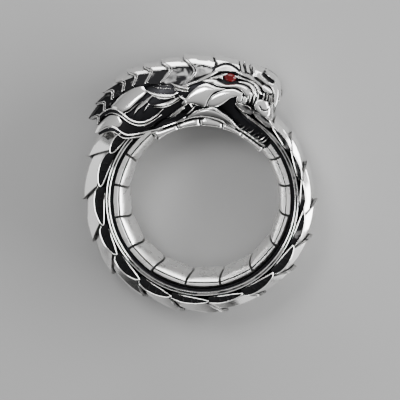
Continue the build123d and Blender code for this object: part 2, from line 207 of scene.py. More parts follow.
def narrow_tail(verts):
    """Draws a turned piece in to the tail, and to a blunt tip in the mouth."""
    for vert in verts:
        deg, radius = along_body(vert.co.x, vert.co.y), vert.co.xy.length
        point = 1 - tip_shrink * (max(0, deg - tip_start) / (hoop_end - tip_start)) ** 2
        flat = spot(deg, tip_radius + (radius - tip_radius) * point)
        vert.co = flat + Vector((0, 0, narrowed(deg, vert.co.z) * point))


def turned_section(bm, section, start, end, steps):
    """Spins a closed section of (radius, height) points round the hole's axis."""
    ring = [bm.verts.new((radius, 0, height)) for radius, height in section]
    face = bm.faces.new(ring)
    bmesh.ops.rotate(bm, verts=ring, cent=(0, 0, 0), matrix=Matrix.Rotation(radians(start), 3, "Z"))
    bmesh.ops.spin(
        bm, geom=[face, *face.edges, *ring], cent=(0, 0, 0), axis=(0, 0, 1),
        angle=radians(end - start), steps=steps, use_merge=False)


def joined(tree, operation, first, second, clamp=False):
    """Node output: two values, multiplied or the larger of them."""
    node = tree.nodes.new("ShaderNodeMath")
    node.operation = operation
    node.use_clamp = clamp
    tree.links.new(first, node.inputs[0])
    tree.links.new(second, node.inputs[1])
    return node.outputs["Value"]


def silver_tone():
    """Node group: patches of thin tarnish, and darkening in the corners that is partly oxide and partly
    painted shade.
    """
    group = bpy.data.node_groups.new("silver_tone", "ShaderNodeTree")
    for name, way, kind in (
            ("Corner Darkening", "INPUT", "Float"), ("Reach", "INPUT", "Float"), ("Clean", "INPUT", "Color"),
            ("Dark", "INPUT", "Color"), ("Color", "OUTPUT", "Color"), ("Dullness", "OUTPUT", "Float")):
        group.interface.new_socket(name, in_out=way, socket_type=f"NodeSocket{kind}")
    nodes, links = group.nodes, group.links
    given = nodes.new("NodeGroupInput").outputs
    out = nodes.new("NodeGroupOutput")
    # Each piece's own darkening per point: oxide, and painted shade on end faces and crest sides
    left = nodes.new("ShaderNodeAttribute")
    left.attribute_name = "oxide_and_painted_shade"
    corner = nodes.new("ShaderNodeAmbientOcclusion")
    corner.samples = 12
    links.new(given["Reach"], corner.inputs["Distance"])
    # Ambient occlusion darkens corners and the ground under overhangs: partly the oxide left there, partly
    # painted shade
    occluded_darkening = remapped(group, corner.outputs["AO"], (0.45, 0.86), (1, 0), smooth=True)
    patches = noise(group, object_place(group), 700, 5, 0.8)
    uneven = remapped(group, patches, (0.35, 0.65), (0.62, 1.15))
    corner_oxide_and_shade = joined(group, "MULTIPLY", joined(group, "MULTIPLY", occluded_darkening, uneven), given["Corner Darkening"], clamp=True)
    listed_oxide_shade = joined(group, "MULTIPLY", left.outputs["Fac"], uneven, clamp=True)
    most = joined(group, "MAXIMUM", corner_oxide_and_shade, listed_oxide_shade)
    mix = nodes.new("ShaderNodeMix")
    mix.data_type = "RGBA"
    links.new(most, mix.inputs["Factor"])
    links.new(given["Clean"], mix.inputs["A"])
    links.new(given["Dark"], mix.inputs["B"])
    links.new(mix.outputs["Result"], out.inputs["Color"])
    links.new(most, out.inputs["Dullness"])
    return group


def fine_scratches():
    """Node group: the haze of hair-fine scratches that wear leaves on polished silver."""
    group = bpy.data.node_groups.new("fine_scratches", "ShaderNodeTree")
    for name in ("Lines", "Haze"):
        group.interface.new_socket(name, in_out="OUTPUT", socket_type="NodeSocketFloat")
    nodes, links = group.nodes, group.links
    out = nodes.new("NodeGroupOutput")
    place = object_place(group)
    drawn = nodes.new("ShaderNodeMapping")
    drawn.inputs["Rotation"].default_value = (0.4, 0.3, 0.7)
    drawn.inputs["Scale"].default_value = (1, 14, 6)
    links.new(place, drawn.inputs["Vector"])
    links.new(noise(group, drawn.outputs["Vector"], 900, 3), out.inputs["Lines"])
    links.new(remapped(group, noise(group, place, 900, 4), (0.3, 0.7)), out.inputs["Haze"])
    return group


tone_group, scratch_group = silver_tone(), fine_scratches()
oxide_roughness = 0.55


def silver(name, clean, dark, oxide, reach, smooth, dull):
    """A silver finish: its colours, how far oxide and painted corner shade creep from corners, and its
    polish.
    """
    made, tree, shader = new_material(name)
    nodes, links = tree.nodes, tree.links
    shader.inputs["Metallic"].default_value = 1
    tone = nodes.new("ShaderNodeGroup")
    tone.node_tree = tone_group
    for socket, value in (("Clean", (*clean, 1)), ("Dark", (*dark, 1)), ("Corner Darkening", oxide), ("Reach", reach)):
        tone.inputs[socket].default_value = value
    wear = nodes.new("ShaderNodeGroup")
    wear.node_tree = scratch_group
    total = nodes.new("ShaderNodeMix")
    total.inputs["B"].default_value = oxide_roughness
    bump = nodes.new("ShaderNodeBump")
    bump.inputs["Strength"].default_value = 0.05
    bump.inputs["Distance"].default_value = 0.00002
    links.new(tone.outputs["Color"], shader.inputs["Base Color"])
    links.new(remapped(tree, wear.outputs["Haze"], result=(smooth, dull)), total.inputs["A"])
    links.new(tone.outputs["Dullness"], total.inputs["Factor"])
    links.new(total.outputs["Result"], shader.inputs["Roughness"])
    links.new(wear.outputs["Lines"], bump.inputs["Height"])
    links.new(bump.outputs["Normal"], shader.inputs["Normal"])
    return made


# name, clean colour and the colour of oxide and painted shade, how strongly corners darken with oxide and
# painted shade, reach in metres, roughness where smooth and where worn
# The blackened finish is the castings' oxide, and also the colour of the dark pieces of painted shade
blackened_and_shade = silver("blackened_silver", (0.020, 0.020, 0.022), (0.004, 0.004, 0.005), 0.9, 0.0008, 0.30, 0.44)
polished = silver("polished_silver", (0.88, 0.875, 0.865), (0.015, 0.015, 0.016), 0.92, 0.0005, 0.10, 0.17)
satin = silver("satin_silver", (0.88, 0.875, 0.865), (0.03, 0.03, 0.031), 0.6, 0.0004, 0.24, 0.36)
bright = silver("bright_silver", (0.90, 0.895, 0.885), (0.03, 0.03, 0.031), 0.45, 0.0003, 0.09, 0.15)

millimetre = 0.001


def into_metres(bm, name, finish, nodes=(), both=True, edge=0.05, angle=34):
    """Mirrors a piece to the other side, closes it, rounds its edges and hands it over."""
    if both:
        bmesh.ops.mirror(
            bm, geom=[*bm.verts, *bm.edges, *bm.faces], matrix=Matrix(), merge_dist=0.0005, axis="Z")
    bmesh.ops.remove_doubles(bm, verts=bm.verts, dist=0.0008)
    bmesh.ops.dissolve_degenerate(bm, edges=bm.edges, dist=0.0008)
    bmesh.ops.recalc_face_normals(bm, faces=bm.faces)
    bmesh.ops.scale(bm, verts=bm.verts, vec=(millimetre, millimetre, millimetre))
    mesh = bpy.data.meshes.new(name)
    bm.to_mesh(mesh)
    bm.free()
    mesh.shade_smooth()
    mesh.set_sharp_from_angle(angle=radians(angle))
    mesh.materials.append(finish)
    piece = placed(name, mesh)
    if edge:
        rounding = piece.modifiers.new("worn_edges", "BEVEL")
        rounding.width = edge * millimetre
        rounding.segments = 2
        rounding.limit_method = "ANGLE"
        rounding.angle_limit = radians(angle)
        rounding.harden_normals = True
    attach(piece, "root")
    if nodes:
        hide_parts(*nodes)


# From the ridge to the finger hole. The part outside the waist grows to the hoop's top.
hoop_section = (
    (14, 0), (13.9, 1.6), (12.9, 3.3), (12.4, 3.72), (11.9, 3.8), (11.5, 3.8), (11.46, 3.75), (11.46, 0))
hoop_waist = 12.0
hoop_top = ((hoop_start, 14.55), (310, 13.75), (397, 13.25), (404, 13.2), (418, 13), (425, 12.7))
bm = bmesh.new()
turned_section(bm, hoop_section, hoop_start, hoop_end, 120)
for vert in bm.verts:
    radius = vert.co.xy.length
    if radius > hoop_waist:
        top = between(hoop_top, along_body(vert.co.x, vert.co.y))
        growth = (top - hoop_waist) / (hoop_section[0][0] - hoop_waist)
        vert.co.xy *= (hoop_waist + (radius - hoop_waist) * growth) / radius
narrow_tail(bm.verts)
into_metres(bm, "body_hoop", blackened_and_shade, ["core_hoop"])


# Rails. A polished double line runs along each side of the hoop, from the neck into the mouth.
# It is part of the casting, with a groove chased between its two ribs.

rail_section = (
    (11.74, 3.6), (11.75, 4.34), (11.77, 4.43), (11.81, 4.46), (11.85, 4.43), (11.87, 4.34), (11.9, 3.98),
    (12.08, 3.98), (12.11, 4.34), (12.13, 4.43), (12.17, 4.46), (12.21, 4.43), (12.23, 4.34), (12.24, 3.6))
rail_middle = 12.0
# Below this height the groove and the rails' sides stay oxidised
rail_bright_from = 4.2
rail_thinning = ((402, 1), (412, 0.5))


def oxide_shade_mesh():
    """An empty mesh, and its layer for the oxide and the painted shade that is left at each point."""
    bm = bmesh.new()
    return bm, bm.verts.layers.float.new("oxide_and_painted_shade")


bm, oxide_shade = oxide_shade_mesh()
turned_section(bm, rail_section, hoop_start - 1, hoop_end, 140)
for vert in bm.verts:
    vert[oxide_shade] = 1 if vert.co.z < rail_bright_from else 0
    thin = between(rail_thinning, along_body(vert.co.x, vert.co.y))
    radius = vert.co.xy.length
    vert.co.xy *= (rail_middle + (radius - rail_middle) * thin) / radius
narrow_tail(bm.verts)
into_metres(bm, "side_rails", bright, edge=0)


# Belly plates. Thirteen polished plates line the finger hole, one behind another, each with
# a flat land in the middle, rounded cheeks and a line engraved along each cheek.

belly_joints = (
    126, 148.5, 170, 191.6, 213.7, 234.6, 258.5, 281.8, 305.5, 328.2, 349.5, 369.3, 389.1, 399.8)
belly_section = (
    (9.5, 0), (9.51, 0.9), (9.56, 1.7), (9.64, 2.35), (9.76, 2.85), (9.96, 3.28), (10.2, 3.6),
    (10.42, 3.84), (10.5, 3.9), (10.54, 3.87), (10.63, 3.56), (10.72, 3.89), (10.77, 3.95))
groove_radius, groove_oxide = 10.63, 1.7
# The radius at which each plate's cheek begins to fall away to the channel beside it
cheek_ends = (11.2, 11.25, 11.25, 11.25, 11.2, 11.0, 10.98, 10.96, 10.86, 10.9, 11.15, 11.2, 11.1)
channel_radius = 11.5
belly_gap = 0.88
bow, bow_half = 0.57, 4.1
# The share of a plate's length that is rounded at each end, and how far the end falls back
end_share, end_fall = 0.13, 0.05


def belly_plate(section, first, last):
    """One plate of the finger hole's wall, flat along the ring, with rounded, bowed ends."""
    bm, oxide_shade = oxide_shade_mesh()
    turned_section(bm, section, first, last, 22)
    for vert in bm.verts:
        x, y, z = vert.co
        radius = hypot(x, y)
        vert[oxide_shade] = groove_oxide if z > 3 and abs(radius - groove_radius) < 0.02 else 0
        deg = first + (degrees(atan2(y, x)) - first + 180) % 360 - 180
        edge_way = min(deg - first, last - deg) / (end_share * (last - first))
        flat = hole_radius / cos(radians(deg - (first + last) / 2)) - hole_radius
        inward = (section[-1][0] - radius) / (section[-1][0] - hole_radius)
        lift = (flat + end_fall * max(0, 1 - edge_way)) * inward
        deg += degrees(bow * (1 - (z / bow_half) ** 2) / radius)
        vert.co = spot(deg, radius + lift) + Vector((0, 0, z))
    return bm


for number, (start, end, cheek) in enumerate(zip(belly_joints, belly_joints[1:], cheek_ends), 1):
    fall = channel_radius - cheek
    section = [
        *belly_section, (cheek, 3.95), (cheek + 0.15 * fall, 3.88), (cheek + 0.5 * fall, 3.5),
        (channel_radius, 2.95), (channel_radius, 0)]
    bm = belly_plate(section, start + belly_gap, end - belly_gap)
    narrow_tail(bm.verts)
    into_metres(bm, f"belly_{number:02d}", satin, [f"belly_plate_{number:02d}"])


# Back scales. Thirteen roof-shaped scales overlap along the outside of the body, each cast
# as a shell with a worn free edge that slants back to its side.

scale_tips = (
    (161.5, 15.8), (182.2, 15.5), (203.3, 15.4), (221.6, 15.4), (241.1, 14.95), (260.6, 15), (282, 15.05),
    (303, 14.65), (322.8, 14.8), (340.7, 14.6), (359.4, 14.4), (379.7, 13.85), (397.2, 13.9))
# The radius of the scales' lower edges, which comes in nearer the tail
scale_feet = ((235, 13.5), (262, 13.2), (300, 13.2), (318, 13.35), (335, 13.1), (352, 12.95), (400, 12.95))
# How far back a scale's edge slants to its side, and how far a scale reaches in under the last
scale_slant, scale_overlap = 9.8, 3.0
# The slant of its front edge, how far that edge drops and is drawn in there, and the tip's rise
front_slant, front_drop, front_tuck = scale_slant - 0.7, 0.5, 0.3
tip_rise = 0.15
scale_half, scale_shell = 4.2, 0.38
panel_slope = 0.74
ridge_fall = 0.42


def on_edge(edge, share):
    """A point of an edge listed from its tip inwards, at a share of its radial depth."""
    radius = edge[0][1] + share * (edge[-1][1] - edge[0][1])
    rows = sorted((row[1], row[0]) for row in edge)
    return between(rows, radius), radius


# Painted shade on a plate's rear end face, and how much darker the line is where a side's darkening begins
end_face_shade, side_line_darkening = 0.85, 1.8


def shell_grid(bm, along, across):
    """Makes a doubled grid, and gives the number of points in its inner half."""
    bmesh.ops.create_grid(bm, x_segments=along, y_segments=across, size=1)
    bmesh.ops.extrude_face_region(bm, geom=bm.faces[:], use_keep_orig=True)
    bm.verts.index_update()
    return len(bm.verts) // 2


def shingle(front, rear, depth, half, roof, thickness, along=12, bulge=0.0, oxide=0.0, bright_to=0.27,
            tuck=0.0):
    """Half a roof-shaped plate between a front and a rear edge, as a shell.

    The edges are rows of (degrees, radius) from the ridge inwards, and the roof falls from
    the ridge by its slope over a depth. The darkening, partly oxide and partly a painted dark
    reflection, lies from the share bright_to of the roof on down, and painted shade lies on the
    rear's end faces. The tuck draws the front in under the plate before."""
    bm, oxide_shade = oxide_shade_mesh()
    inner_count = shell_grid(bm, along, 18)
    for vert in bm.verts:
        # The grid's last strip is squeezed into the rear's end face
        at_end = vert.co.x > 0.999
        u = 1 if at_end else 0.985 * (vert.co.x + 1) / (2 - 2 / along)
        v = (vert.co.y + 1) / 2
        share = v * v * (3 - 2 * v) * 0.4 + 0.6 * v
        first, last = on_edge(front, share), on_edge(rear, share)
        swell = bulge * 4 * u * (1 - u)
        deg = first[0] + u * (last[0] - first[0])
        radius = first[1] + u * (last[1] - first[1]) + swell
        ridge = front[0][1] + u * (rear[0][1] - front[0][1]) + swell
        fall = max(0, (ridge - radius) / depth)
        height = (half - tuck * (1 - u)) * between(roof, fall)
        if vert.index < inner_count:
            radius -= thickness * (1 - 0.5 * min(1, fall))
            height = max(0, height - 0.8 * thickness * min(1, 4 * share))
        below = fall - bright_to
        # Painted shade on the rear end face; below bright_to the side is darkened, partly oxide and partly a
        # painted dark reflection
        vert[oxide_shade] = end_face_shade if at_end else oxide * (1 if below > 0.05 else side_line_darkening if below > 0 else 0)
        vert.co = spot(deg, radius) + Vector((0, 0, height))
    return bm


def scale_roof(depth):
    """The roof of a scale, from a low ridge over a shoulder to its wide side panel."""
    bend = min(ridge_fall, 0.25 * depth) / depth
    shoulder = 1 - panel_slope * depth * (1 - bend) / scale_half
    return (0, 0), (0.2 * bend, 0.3 * shoulder), (0.7 * bend, 0.8 * shoulder), (bend, shoulder), (1, 1)


# The first scale starts square behind the neck, and each other one under the scale before it
neck_end = (hoop_start, 15.8)
for number, ((start, last_ridge), (tip, ridge)) in enumerate(zip([neck_end, *scale_tips], scale_tips), 1):
    ridge += tip_rise
    foot = between(scale_feet, tip)
    overlap, slant, tuck = (0, 0, 0) if number == 1 else (scale_overlap, front_slant, front_tuck)
    front = [(start - overlap, last_ridge - front_drop), (start - slant, foot)]
    rear = [(tip, ridge), (tip - scale_slant, foot)]
    depth = ridge - foot
    bm = shingle(front, rear, depth, scale_half, scale_roof(depth), scale_shell, bulge=0.12, tuck=tuck)
    narrow_tail(bm.verts)
    into_metres(bm, f"scale_{number:02d}", polished, [f"back_scale_{number:02d}"])

# The tail's own top, which runs on into the mouth from under the last scale
# name, front edge, rear edge, the roof's depth, and how far it swells
tail_tops = (
    ("tail_top", ((393, 13.55), (389.5, 12.95)), ((408.8, 13.9), (405.6, 12.95)), 0.95, 0.14),
    ("tail_tip", ((404.5, 13.5), (401.5, 12.95)), ((428, 13.3), (425, 12.8)), 0.5, 0))
tail_shell = 0.2
for name, front, rear, depth, bulge in tail_tops:
    bm = shingle(front, rear, depth, scale_half, scale_roof(depth), tail_shell, bulge=bulge)
    narrow_tail(bm.verts)
    into_metres(bm, name, polished)


# Leaf frames. Below each scale a pointed leaf lies on the body's side: a thin polished rim
# round a dark hollow, with small cast ribs in it.

# Each leaf's point, how far out its arc reaches, and how much oxide is left in its hollow
leaves = (
    (152.6, 13.1, 13.7, 1.6), (172.7, 13.06, 13.76, 1.6), (194.7, 13, 13.76, 1.6), (213, 12.95, 13.76, 1.6),
    (232, 12.95, 13.74, 1.6), (252.3, 12.95, 13.62, 1.6), (273.8, 12.95, 13.38, 1.6),
    (293.6, 12.95, 13.38, 1.6), (314.8, 12.9, 13.62, 1.6), (334, 12.9, 13.58, 1.5),
    (354.3, 12.9, 13.42, 1.35), (371.8, 12.85, 13.16, 1.2), (389.5, 12.85, 13.16, 1.15),
    (407.1, 12.9, 13.2, 1.1), (420.6, 13, 13.3, 1), (431.5, 13.1, 13.35, 0.95))


def smooth_line(points, count):
    """A smooth curve through some points, as evenly spaced points."""
    ends = [2 * points[0] - points[1], *points, 2 * points[-1] - points[-2]]
    line = []
    for before, start, stop, after in zip(ends, ends[1:], ends[2:], ends[3:]):
        piece = interpolate_bezier(start, start + (stop - before) / 6, stop - (after - start) / 6, stop, 14)
        line += piece[:-1]
    line.append(points[-1])
    lengths = [0]
    for start, stop in zip(line, line[1:]):
        lengths.append(lengths[-1] + (stop - start).length)
    rows = [[(length, point[axis]) for length, point in zip(lengths, line)] for axis in range(3)]
    return [Vector([between(row, lengths[-1] * step / count) for row in rows]) for step in range(count + 1)]


def verts_in(made):
    """The points among the parts that an operator made."""
    return [part for part in made["geom"] if isinstance(part, bmesh.types.BMVert)]


def panel(bm, low, high, top, crown, fullness, depth, across=8, taper=0.0, ends=10):
    """A raised plate between two lines of points, crowned across, laid on a surface.

    top gives the surface's height at (x, y), and the plate's edge lies a crown below it. A
    fullness of 2 is a round bead, 1 a ridge, and more a flat plate with soft edges."""
    along = len(low) - 1
    made = bmesh.ops.create_grid(bm, x_segments=along, y_segments=across, size=1)["verts"]
    faces = list({face for vert in made for face in vert.link_faces})
    lifted = set(verts_in(bmesh.ops.extrude_face_region(bm, geom=faces, use_keep_orig=True)))
    for vert in [*made, *lifted]:
        step = round((vert.co.x + 1) / 2 * along)
        u, v = step / along, sin(vert.co.y * pi / 2)
        place = low[step].lerp(high[step], (v + 1) / 2)
        rise = (1 - abs(v) ** fullness) * (1 - abs(2 * u - 1) ** ends)
        height = top(place.x, place.y) - crown * (1 - rise)
        if vert not in lifted:
            height -= depth * (1 - taper * u)
        vert.co = Vector((place.x, place.y, height))


def ribbon(rows, count):
    """The two side lines of a line of varying width, from rows of (degrees, radius, width)."""
    middle = smooth_line([spot(deg, radius) for deg, radius, _ in rows], count)
    widths = [(index * count / (len(rows) - 1), row[2]) for index, row in enumerate(rows)]
    low, high = [], []
    for step, point in enumerate(middle):
        way = (middle[min(step + 1, count)] - middle[max(step - 1, 0)]).normalized()
        side = Vector((-way.y, way.x, 0)) * between(widths, step) / 2
        low.append(point - side)
        high.append(point + side)
    return low, high


body_half = 4.38


def body_side(lift):
    """The body's side at a point, drawn in towards the tail."""
    return lambda x, y: narrowed(along_body(x, y), body_half + lift)


rims = bmesh.new()
hollows, oxide_shade = oxide_shade_mesh()
last = hoop_start
for point, radius, arc, oxide in leaves:
    long, rise = point - last, arc - radius
    # Rows of (share of the leaf's length, radius, width)
    begin = 0.04 if last == hoop_start else 0.16
    outer = (
        (0.01, radius + 0.45 * rise, 0.06), (0.11, arc - 0.15, 0.17), (0.32, arc, 0.18),
        (0.60, arc - 0.05, 0.18), (0.84, arc - 0.4 * rise, 0.18), (0.95, arc - 0.7 * rise, 0.17),
        (1, radius, 0.12))
    inner = (
        (begin, 12.44, 0.05), (begin + 0.25, 12.48, 0.14), (0.72, 12.62, 0.16), (0.92, 12.82, 0.16),
        (1, radius, 0.12))
    for line in (outer, inner):
        line = [(last + share * long, reach, wide) for share, reach, wide in line]
        panel(rims, *ribbon(line, 24), body_side(0.06), 0.10, 2, 0.5, across=6, ends=40)
    low = ((0, 12.5), (0.5, 12.5), (1, radius - 0.05))
    high = (
        (0, radius + 0.3 * rise), (0.2, arc - 0.14), (0.5, arc - 0.04), (0.8, arc - 0.3 * rise),
        (1, radius + 0.05))
    before = set(hollows.verts)
    low, high = (
        smooth_line([spot(last + share * long, reach) for share, reach in line], 16) for line in (low, high))
    panel(hollows, low, high, body_side(-0.18), 0.06, 4, 0.3, across=6)
    for share, foot, head in ((0.30, 12.7, 0.7), (0.52, 12.72, 0.8), (0.68, 12.8, 0.7), (0.82, 12.85, 0.5)):
        deg, head = last + share * long, radius + head * rise
        rib = [(deg, foot, 0.12), (deg + 0.5, (foot + head) / 2, 0.22), (deg + 1.3, head, 0.10)]
        panel(hollows, *ribbon(rib, 6), body_side(-0.06), 0.12, 2, 0.3, across=4)
    for vert in set(hollows.verts) - before:
        vert[oxide_shade] = oxide
    last = point
into_metres(rims, "leaf_rims", bright, edge=0)
into_metres(hollows, "leaf_hollows", polished, edge=0)


# Head casting. The head's inner form in oxidised silver, over which its polished plates
# stand. It is one casting with the plates, and the oxide stays in the channels between them.

head_section = (
    (-0.1, 0.5), (0, 0.58), (0.08, 0.8), (0.21, 0.95), (0.33, 1), (0.5, 1),
    (0.63, 0.93), (0.76, 0.78), (0.88, 0.52), (0.97, 0.25), (1.06, 0.06))
head_plan = ((-1.9, 1), (0.45, 1), (0.7, 0.93), (0.9, 0.84), (1.06, 0.68), (1.13, 0.5))
head_lines = (
    (52.6, 0.62), (53.4, 0.74), (56, 0.82), (62, 0.86), (75, 0.85), (87, 0.84), (96, 0.84),
    (108, 0.88), (122, 0.93), (134, 0.9), (140.5, 0.77), (141.5, 0.68), (139.4, 0.66), (139.4, 0.36),
    (139.4, 0.23), (128, 0.23), (116, 0.23), (104, 0.23), (93, 0.24), (88.6, 0.29), (81, 0.31),
    (78.5, 0.36), (76, 0.41), (73.9, 0.46), (70, 0.54), (64, 0.56), (60, 0.56), (54, 0.56))


# The length that the section, plan and lines are shares of, and the half-width's two parts
head_unit = 9.0
head_core, head_swell = 0.34, 4.16


def head_side(lift):
    """The head's half-width at a point, from its section and its plan."""
    def height(x, y):
        share = (hypot(x, y) - hole_radius) / head_unit
        section = sum(between(head_section, share + shift) for shift in (-0.06, -0.03, 0, 0.03, 0.06)) / 5
        plan = sum(between(head_plan, x / head_unit + shift) for shift in (-0.06, 0, 0.06)) / 3
        return head_core + head_swell * min(section, plan) + lift
    return height


def dark_slab(name, outline, top, gap, nodes=()):
    """A dark slab of a side outline, whose two faces are laid on a surface in small facets."""
    bm = bmesh.new()
    face = bm.faces.new([bm.verts.new(point) for point in outline])
    raised = verts_in(bmesh.ops.extrude_face_region(bm, geom=[face], use_keep_orig=True))
    bmesh.ops.translate(bm, verts=raised, vec=(0, 0, 1))
    for axis in (0, 1):
        spread = [point[axis] for point in outline]
        normal = Vector((1 - axis, axis, 0))
        for step in range(1, int((max(spread) - min(spread)) / gap) + 1):
            bmesh.ops.bisect_plane(
                bm, geom=[*bm.verts, *bm.edges, *bm.faces], plane_co=normal * (min(spread) + step * gap),
                plane_no=normal, dist=0.0001)
    for vert in bm.verts:
        vert.co.z = top(vert.co.x, vert.co.y) if vert.co.z > 0.5 else 0
    into_metres(bm, name, blackened_and_shade, nodes, edge=0)


head_outline = [spot(deg, hole_radius + head_unit * share) for deg, share in head_lines]
dark_slab("head_casting", head_outline, head_side(-0.52), 0.55, ["head"])

# The thin wall at the back of the mouth and behind the lower teeth, which stays dark: partly the mouth's own
# wall and partly a dark sheet of painted shade in the open mouth
palate_lines = (
    (89, 11.6), (87.5, 12.6), (83.5, 13.9), (78, 14.8), (70, 15), (63, 15), (59.5, 14.4), (59, 12.3),
    (54, 11.9), (48, 11.75), (42, 11.6), (41.5, 10.2), (51, 10.1), (62, 10.1), (70, 10.6), (78, 11.3),
    (84, 11.4))
palate_half = 1.1
dark_slab("palate_and_painted_shade", [spot(*row) for row in palate_lines], lambda x, y: palate_half, 1.0)


# Head plates. Polished plates of the brow, eye, cheek, lips and neck, each with soft edges,
# stand over the dark casting. They are cast with it and polished on their faces only.

# name, lift, crown, fullness, and the lower and upper lines as (degrees, radius)
head_plates = (
    ("brow", 0, 0.34, 1.5,
     ((104, 14.45), (100, 14.6), (96, 14.8), (92, 15.1), (88, 15.55), (84.8, 16.1), (82, 16.6),
      (78.5, 16.85), (75, 16.72), (70.4, 16.65), (65.4, 16.5), (61.3, 16.2)),
     ((104, 14.9), (100, 15.05), (96, 15.25), (92, 15.55), (88.2, 16), (85.6, 16.4), (82.7, 17.15),
      (79.5, 17.5), (76.3, 17.35), (71.9, 17.08), (66.7, 17.1), (62.2, 16.6))),
    ("lower_lid", -0.05, 0.22, 2.2,
     ((90, 15.25), (85.2, 15.1), (82.6, 14.85), (79.1, 14.82), (74.1, 15.1), (71.5, 15.1), (69.4, 14.85),
      (67, 14.45)),
     ((90, 15.5), (84.8, 15.65), (82, 15.4), (78.6, 15.22), (74.6, 15.5), (71.5, 15.7), (68, 15.6),
      (64.3, 14.95))),
    ("lip_fold", -0.1, 0.2, 2,
     ((73.3, 15.85), (69.6, 15.85), (67.2, 15.75), (65.4, 15.4), (64.2, 14.95)),
     ((73.3, 15.98), (69.9, 16.2), (67, 16.18), (64.6, 15.85), (62.6, 15.1))),
    ("nose_fold", -0.1, 0.2, 2,
     ((69.8, 16.3), (67, 16.25), (64.8, 16), (62.9, 15.5)),
     ((69.8, 16.42), (67, 16.5), (64, 16.3), (60.9, 15.6))),
    ("cheek", -0.02, 0.2, 3.6,
     ((101.5, 12.6), (96, 12.5), (91.4, 12.2), (88.2, 12.1), (86.2, 13.15), (83.4, 14.05), (78.3, 14.66)),
     ((101.5, 12.8), (97.5, 13.6), (94, 14.3), (91, 14.75), (87.5, 15), (83, 14.7), (78, 14.72))),
    ("jaw_muscle", -0.04, 0.18, 3.6,
     ((87.2, 12.15), (84, 12.1), (81, 12.28), (78.5, 12.68), (76.1, 13.28), (73.9, 13.85), (69.7, 14.45)),
     ((87, 12.35), (85.9, 13.05), (84.2, 13.6), (81.5, 14.1), (78.4, 14.55), (73.9, 14.92), (69.4, 14.75))),
    ("socket_rim", -0.06, 0.16, 1.6,
     ((86.5, 15.6), (83.6, 15.75), (80.5, 16.15), (77.8, 16.35), (75, 16.3), (71.5, 16.3), (67, 16.45)),
     ((86.5, 15.75), (83.6, 16), (80.5, 16.5), (77.8, 16.72), (75, 16.62), (71.5, 16.5), (67, 16.55))),
    ("eye_corner", -0.12, 0.08, 3,
     ((83.5, 15.88), (82, 15.82), (80.6, 15.76)),
     ((83.5, 15.92), (82, 16.12), (80.8, 16.28))),
    ("neck_leaf", 0.06, 0.1, 6,
     ((117, 15.55), (119.5, 15.3), (122, 15.2), (125, 15.05), (128.3, 14.95), (132.3, 15.2)),
     ((117.4, 16.35), (119.8, 16.7), (122.3, 16.92), (126.3, 16.95), (130.2, 16.78), (134.6, 16.6))),
    ("nape_scale", -0.3, 0.02, 8,
     ((135.6, 14.2), (138.2, 14.15), (140.5, 14.7), (144, 15.3), (147.3, 15.8)),
     ((135, 15.2), (137.8, 15.95), (142, 16.2), (145.5, 16.25), (148.2, 16.1))),
)


def line_pair(low, high, count):
    """Two rows of (degrees, radius), as smooth lines of evenly spaced points."""
    return [smooth_line([spot(*row) for row in line], count) for line in (low, high)]


def lay_plates(bm, table, side, count, depth, across):
    """Lays the plates of a table on a side of the head."""
    for *_, lift, crown, fullness, low, high in table:
        panel(bm, *line_pair(low, high, count), side(lift), crown, fullness, depth, across=across)


bm = bmesh.new()
lay_plates(bm, head_plates, head_side, 30, 0.7, 12)
into_metres(bm, "head_plates", polished, edge=0)


# Crest. Plates with notched rear edges overlap along the top of the head and the nape, and
# the forehead, nose and snout plates go on in front of them.

# Rear edges, from the tip by the notch to the lower corner, as (degrees, radius)
crest_edges = (
    ((87.8, 18.05), (86.2, 17.6), (87.2, 16.45)),
    ((98.5, 18.4), (94, 16.6), (98.6, 15.3)),
    ((107.6, 18.4), (104.6, 17.1), (109.8, 16)),
    ((115, 18.65), (112.7, 17.65), (116.6, 16.6)),
    ((121.6, 19), (119.2, 17.9), (121.9, 17.1)),
    ((127.6, 18.85), (124.9, 18), (127, 17.2)),
    ((134.6, 18.7), (131, 18), (132.8, 17.25)),
    ((140, 18.4), (136.8, 17.6), (138.6, 16.95)),
    ((146.4, 17.9), (142.8, 17.1), (144.8, 16.5)))
crest_roof = ((0, 0), (0.02, 0.10), (0.09, 0.42), (0.27, 0.545), (0.31, 0.62), (0.75, 0.92), (1, 1))
crest_depth = 3.6
crest_half = 4.3
# How dark each plate's side is made, partly oxide and partly a painted dark reflection, darker towards the
# tail
crest_side_darkening = (0.86, 1.0, 1.2, 1.3, 1.35, 1.35, 1.35, 1.35)
# The share of each plate's roof, from the ridge, that is left bright; below it the side carries the oxide and
# the painted dark reflection
crest_bright_share = (0.27, 0.27, 0.27, 0.27, 0.2, 0.06, 0.04, 0.03)


def crest_side(ridge, lift):
    """The side of a crest plate at a point, below its ridge."""
    def height(x, y):
        return crest_half * between(crest_roof, max(0, ridge - hypot(x, y)) / crest_depth) + lift
    return height


rims = bmesh.new()
# Each crest plate's side is darkened, partly oxide and partly a painted dark reflection
for number, (front, rear, oxide, clean) in enumerate(
        zip(crest_edges, crest_edges[1:], crest_side_darkening, crest_bright_share), 1):
    drop = 0.12 if number == 1 else 0.42
    tucked = [(deg - 1.2, radius - drop) for deg, radius in front]
    bm = shingle(
        tucked, rear, crest_depth, crest_half, crest_roof, 0.45, along=14, oxide=oxide, bright_to=clean)
    into_metres(bm, f"crest_{number}", polished, [f"crest_plate_{number}"])
    ridge = rear[0][1]
    for inset, wide in ((0.10, 0.15), (0.42, 0.11)):
        line = [(deg - degrees(inset / radius), radius - 0.02, wide) for deg, radius in rear]
        # Each rim starts as a thin point just below the ridge
        line[0] = (line[0][0] - 0.3, ridge - 0.28, 0.08)
        panel(rims, *ribbon(line, 24), crest_side(ridge, 0.10), 0.09, 2, 0.4, across=6, ends=40)
into_metres(rims, "crest_rims", bright, edge=0)

